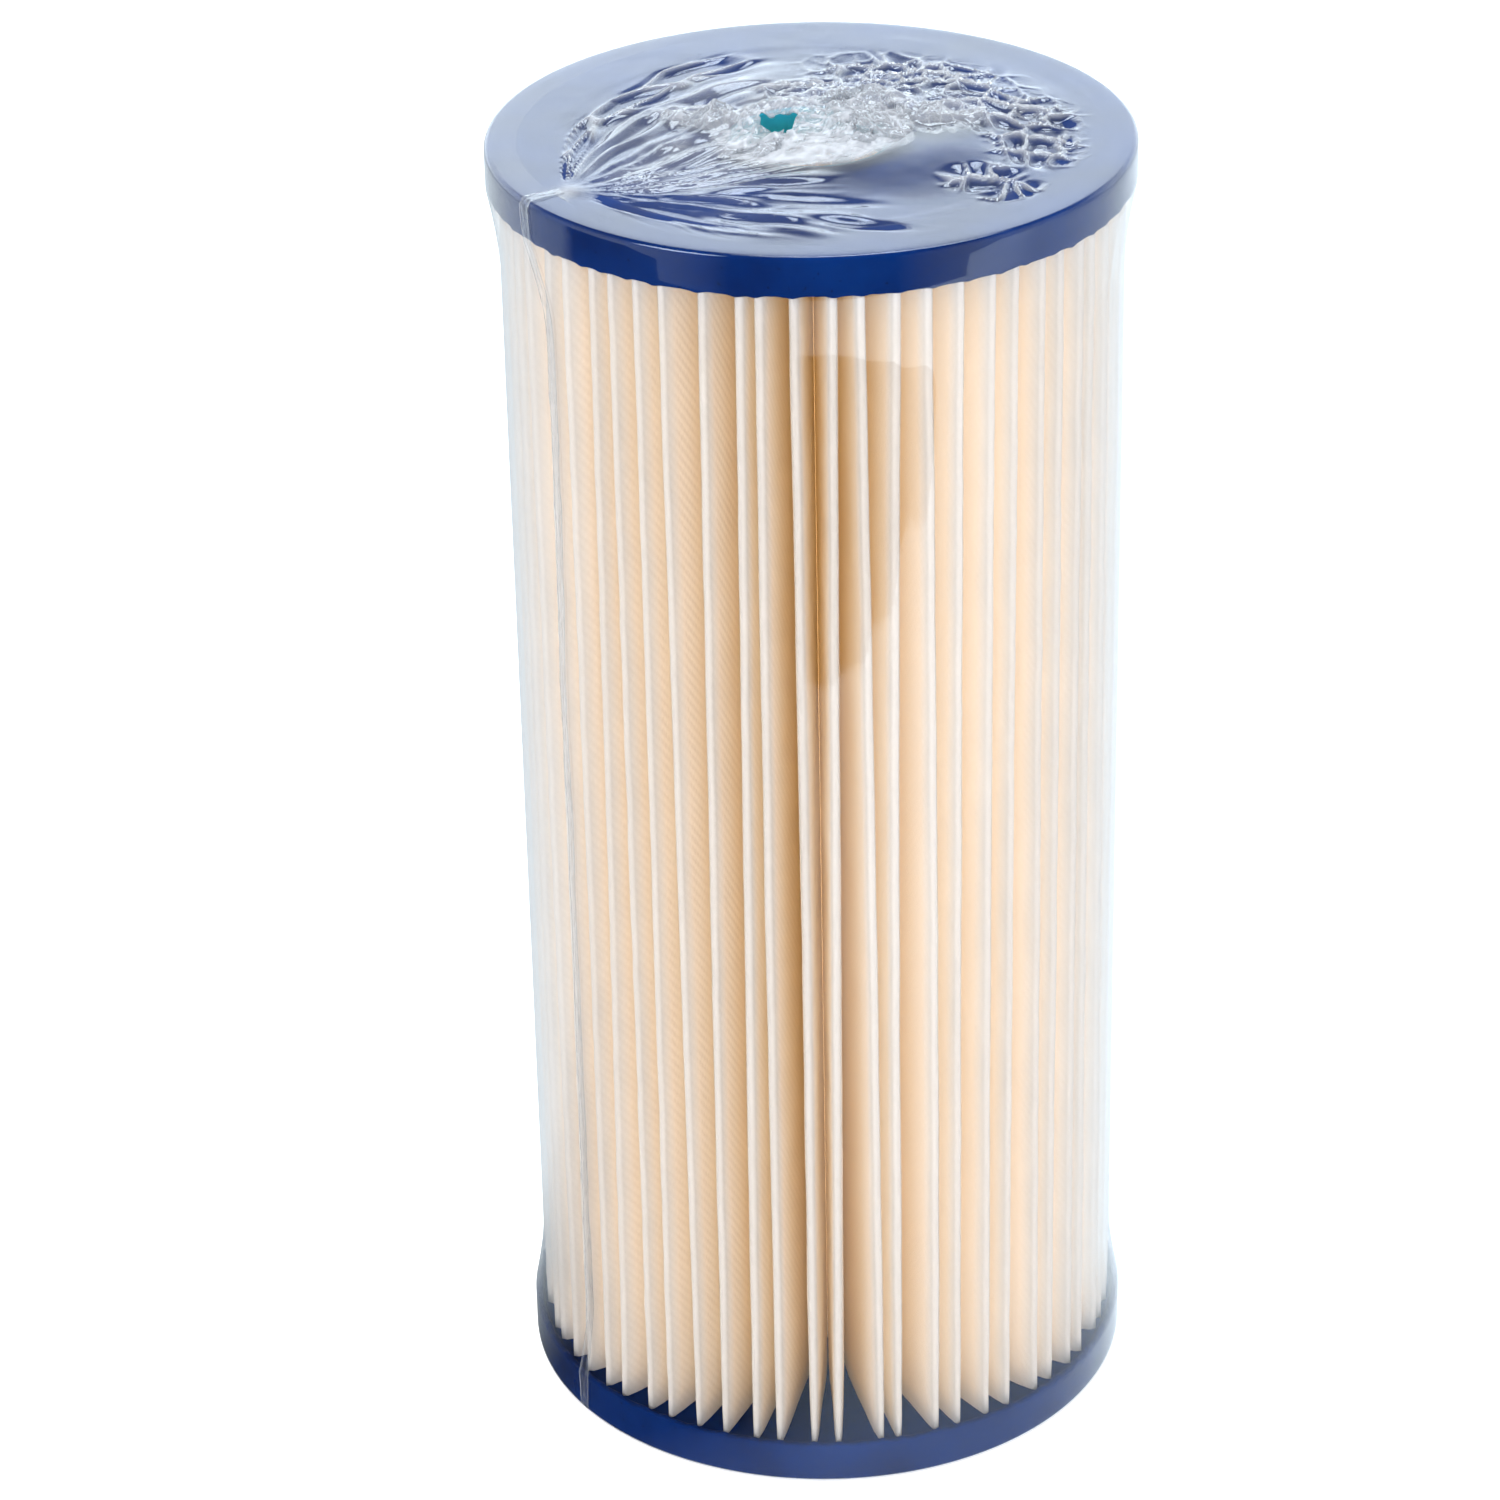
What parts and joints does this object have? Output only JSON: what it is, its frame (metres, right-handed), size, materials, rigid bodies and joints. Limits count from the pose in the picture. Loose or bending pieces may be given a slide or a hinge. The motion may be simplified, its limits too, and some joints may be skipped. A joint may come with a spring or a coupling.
{
  "type": "filter cartridge",
  "caption": "Pleated water filter cartridge with cast blue end caps, open at both ends, in clear shrink film.",
  "frame": {"origin": "middle of the face that the cartridge stands on, under the shrink film", "axes": "+Z along the cartridge's axis from the bottom cap to the top cap; -Y faces the viewer, with the film's lap weld at the left"},
  "size_m": [0.1148, 0.1148, 0.2513],
  "materials": {
    "end_caps": "satin",
    "media": "matte",
    "seam_adhesive": "satin",
    "core": "satin",
    "film": "gloss"
  },
  "bodies": {
    "root": {"top_end_cap": "end_caps", "bottom_end_cap": "end_caps", "pleated_media": "media", "media_seam_bead": "seam_adhesive", "core_tube": "core", "film_sleeve": "film", "film_lap_weld": "film", "film_top_gather": "film", "film_bottom_gather": "film"}
  },
  "joints": []
}
